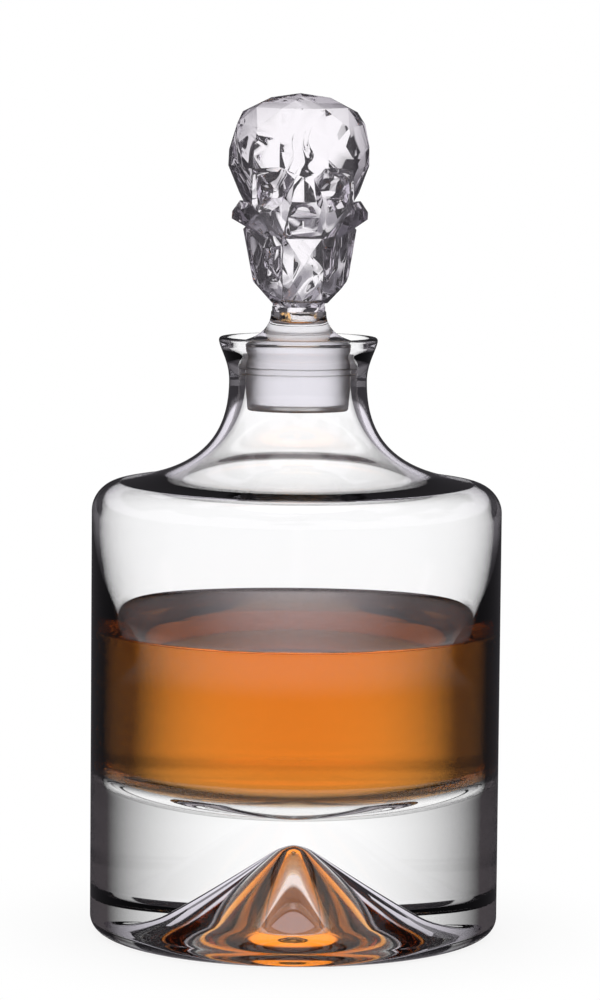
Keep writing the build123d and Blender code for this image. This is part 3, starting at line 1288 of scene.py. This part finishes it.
    def floor(self, sweep: Tree) -> Thing:
        """Build the pale floor, which keeps a soft shadow for the camera.

        Args:
            sweep: The shader group of the white sweeps.

        Returns:
            The floor.
        """
        material = bpy.data.materials.new("pale_floor")
        graph = emptied(material)
        rays = Rays.sort(graph)
        place = graph.place()
        distance = graph.vector("LENGTH", place)["Value"]
        spread = graph.node("ShaderNodeGroup", {"Vector": place}, node_tree=sweep).outputs
        clear = graph.blend(spread["White"], DARK_ROOM, BACKLIGHT)
        open_air = graph.blend(rays.outer, clear, DIM_ROOM)
        inside = self.floor_inside(graph, rays, distance, spread["Aside"])
        shown = rays.shown(graph, open_air, inside)
        glow = graph.node("ShaderNodeEmission", {"Color": shown, "Strength": 1.0}).outputs[0]
        matt = graph.node("ShaderNodeBsdfDiffuse", {"Color": MATT_WHITE}).outputs[0]
        lit = graph.ramp(distance, *self.shadow_distance, self.shadow_light, 1.0)
        share = graph.math("MAXIMUM", graph.math("MULTIPLY", rays.camera, lit), rays.shiny)
        mixed = graph.node("ShaderNodeMixShader", {0: share, 1: matt, 2: glow})
        graph.node("ShaderNodeOutputMaterial", {"Surface": mixed.outputs[0]})
        half = self.floor_half
        corners = [(-half, -half, 0), (half, -half, 0), (half, half, 0), (-half, half, 0)]
        mesh = bpy.data.meshes.new("floor")
        mesh.from_pydata(corners, [], [(0, 1, 2, 3)])
        mesh.materials.append(material)
        return placed("floor", mesh)

    def floor_inside(self, graph: Graph, rays: Rays, distance: Socket, aside: Socket) -> Socket:
        """Make what light mirrored inside glass sees of the floor.

        Args:
            graph: The floor's tree.
            rays: The masks of the rays.
            distance: Distance from the vessel's axis.
            aside: Distance from the middle of a white sweep.

        Returns:
            The colour.
        """
        far = graph.math(
            "MULTIPLY",
            graph.ramp(distance, *self.far_distance),
            graph.ramp(aside, *self.far_aside),
        )
        walls = graph.blend(far, DARK_ROOM, GREY_WALL)
        # Painted light: under the vessel the floor glows amber to rays that crossed the spirit.
        glowing = graph.math("MULTIPLY", rays.deep, graph.fall(distance, *self.glow_distance))
        under = graph.blend(glowing, WHITE, AMBER_GLOW)
        beside = graph.blend(graph.fall(distance, *self.ring_distance), NEAR_GREY, under)
        return graph.blend(graph.fall(distance, *self.near_distance), walls, beside)

    def camera(self) -> None:
        """Place the camera where the photograph was taken from."""
        data = bpy.data.cameras.new("photograph")
        data.lens = self.lens
        data.sensor_width = self.sensor
        data.clip_end = self.camera_reach
        thing = bpy.data.objects.new("photograph", data)
        roll = Matrix.Rotation(self.camera_roll, 4, "Z")
        turn = Matrix.Rotation(pi / 2 - self.camera_fall, 4, "X") @ roll
        thing.matrix_world = Matrix.Translation(Vector(self.camera_place)) @ turn
        bpy.context.scene.collection.objects.link(thing)
        bpy.context.scene.camera = thing

    def build(self) -> None:
        """Set up floor, light, camera and view."""
        sweep = self.sweep()
        self.light(sweep)
        self.floor(sweep)
        self.camera()
        bpy.context.scene.view_settings.view_transform = "Standard"


def attach(piece: Thing, body: Body, slot: Slot, *nodes: str) -> None:
    """Hide the CAD nodes that a piece stands for, and attach it to its body.

    Args:
        piece: The piece.
        body: The body that it rides on.
        slot: Its material slot in the record. It is not used.
        *nodes: The CAD nodes that it stands for.
    """
    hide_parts(*nodes)
    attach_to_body(piece, body.value)
    LOG.info("%s: %d faces on %s", piece.name, len(piece.data.polygons), body.value)


def main() -> None:
    """Build the decanter and its studio."""
    logging.basicConfig(level=logging.INFO, format="%(message)s")
    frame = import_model()
    Studio().build()
    surface = waviness_group()
    finishes = (CRYSTAL, PRESSED_CRYSTAL, AMBER_SPIRIT, FROSTED_SILICONE, CURED_ADHESIVE)
    materials = {finish: finish.make(surface) for finish in finishes}
    lathe = Lathe.make()
    vessel = Vessel()
    sleeve = Sleeve(vessel)
    collar = Collar(sleeve)
    for piece, finish, body, node in (
        (vessel, CRYSTAL, Body.VESSEL, "decanter_body"),
        (Spirit(vessel), AMBER_SPIRIT, Body.VESSEL, "liquor_fill"),
        (sleeve, FROSTED_SILICONE, Body.SLEEVE, "seal_sleeve"),
        (collar, CRYSTAL, Body.STOPPER, "stopper_collar"),
        (Bond(collar), CURED_ADHESIVE, Body.STOPPER, "bond_film"),
    ):
        attach(piece.build(lathe, materials[finish]), body, finish.slot, node)
    skull = Skull().build(frame["nodes"]["skull_head"], materials[PRESSED_CRYSTAL])
    attach(skull, Body.STOPPER, PRESSED_CRYSTAL.slot, "skull_head")


if __name__ == "__main__":
    main()
